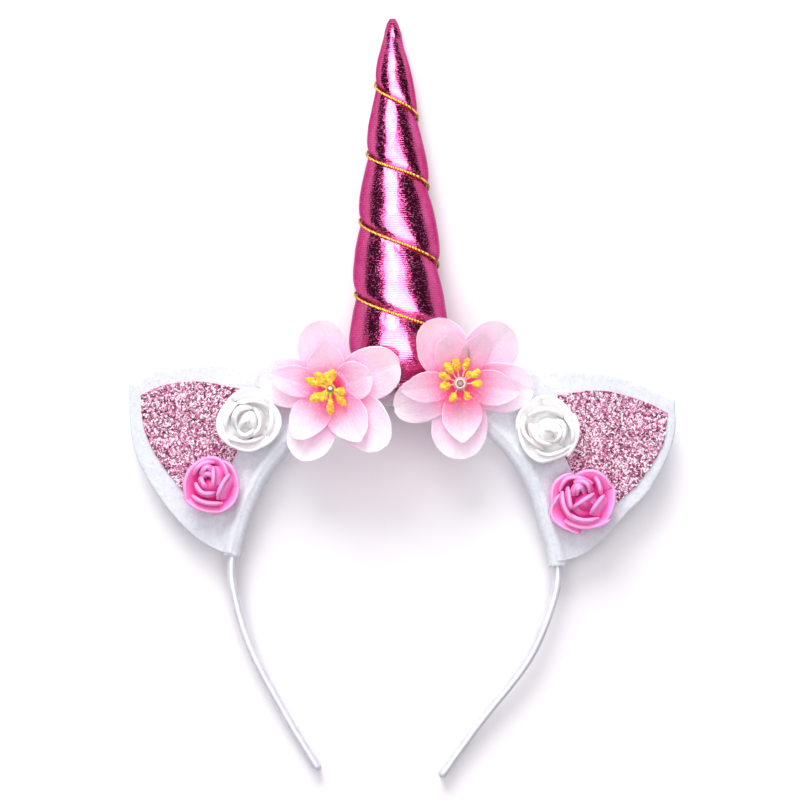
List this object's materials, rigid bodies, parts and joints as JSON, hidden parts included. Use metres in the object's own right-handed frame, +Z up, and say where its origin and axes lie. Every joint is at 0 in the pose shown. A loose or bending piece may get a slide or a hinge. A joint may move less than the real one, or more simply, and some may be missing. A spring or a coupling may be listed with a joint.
{
  "type": "unicorn horn headband",
  "caption": "Costume headband with a stuffed pink metallic horn, gold cord, felt ears with glitter fronts, cloth blossoms and foam roses, lying on its back.",
  "frame": {"origin": "middle of the footprint, on the table that the headband lies on", "axes": "+Y along the horn from the crown to its tip, +X towards the ear on the right as seen from the front, +Z up from the table and out of the headband's front"},
  "size_m": [0.216, 0.3044, 0.0461],
  "materials": {
    "satin_white": "white satin ribbon wrapped round a springy strip, soft sheen",
    "felt_white": "fuzzy white craft felt, matte",
    "glitter_pink": "pink glitter sheet, thousands of sparkling flakes",
    "lame_pink": "pink metallic coated cloth, shiny with fine cross ribs",
    "gold_cord": "gold metallic thread cord, twisted",
    "petal_pale": "pale pink printed cloth, matte",
    "petal_pink": "pink printed cloth, deep pink at the throat, matte",
    "pollen_yellow": "grainy yellow moulded stamens",
    "stem_cream": "cream pink moulded stem",
    "foam_white": "white craft foam, matte",
    "foam_pink": "bright pink craft foam, matte"
  },
  "bodies": {
    "root": {"band": "satin_white", "crown_felt": "felt_white", "ear_felt_left": "felt_white", "ear_felt_right": "felt_white", "glitter_left": "glitter_pink", "glitter_right": "glitter_pink", "horn": "lame_pink", "horn_cord": "gold_cord", "flower_left_outer_petals": "petal_pale", "flower_left_inner_petals": "petal_pink", "flower_left_stamens": "pollen_yellow", "flower_left_centre": "stem_cream", "flower_right_outer_petals": "petal_pale", "flower_right_inner_petals": "petal_pink", "flower_right_stamens": "pollen_yellow", "flower_right_centre": "stem_cream", "rose_white_left_outer_petals": "foam_white", "rose_white_left_inner_petals": "foam_white", "rose_white_left_bud": "foam_white", "rose_pink_left_outer_petals": "foam_pink", "rose_pink_left_inner_petals": "foam_pink", "rose_pink_left_bud": "foam_pink", "rose_white_right_outer_petals": "foam_white", "rose_white_right_inner_petals": "foam_white", "rose_white_right_bud": "foam_white", "rose_pink_right_outer_petals": "foam_pink", "rose_pink_right_inner_petals": "foam_pink", "rose_pink_right_bud": "foam_pink"}
  },
  "joints": []
}
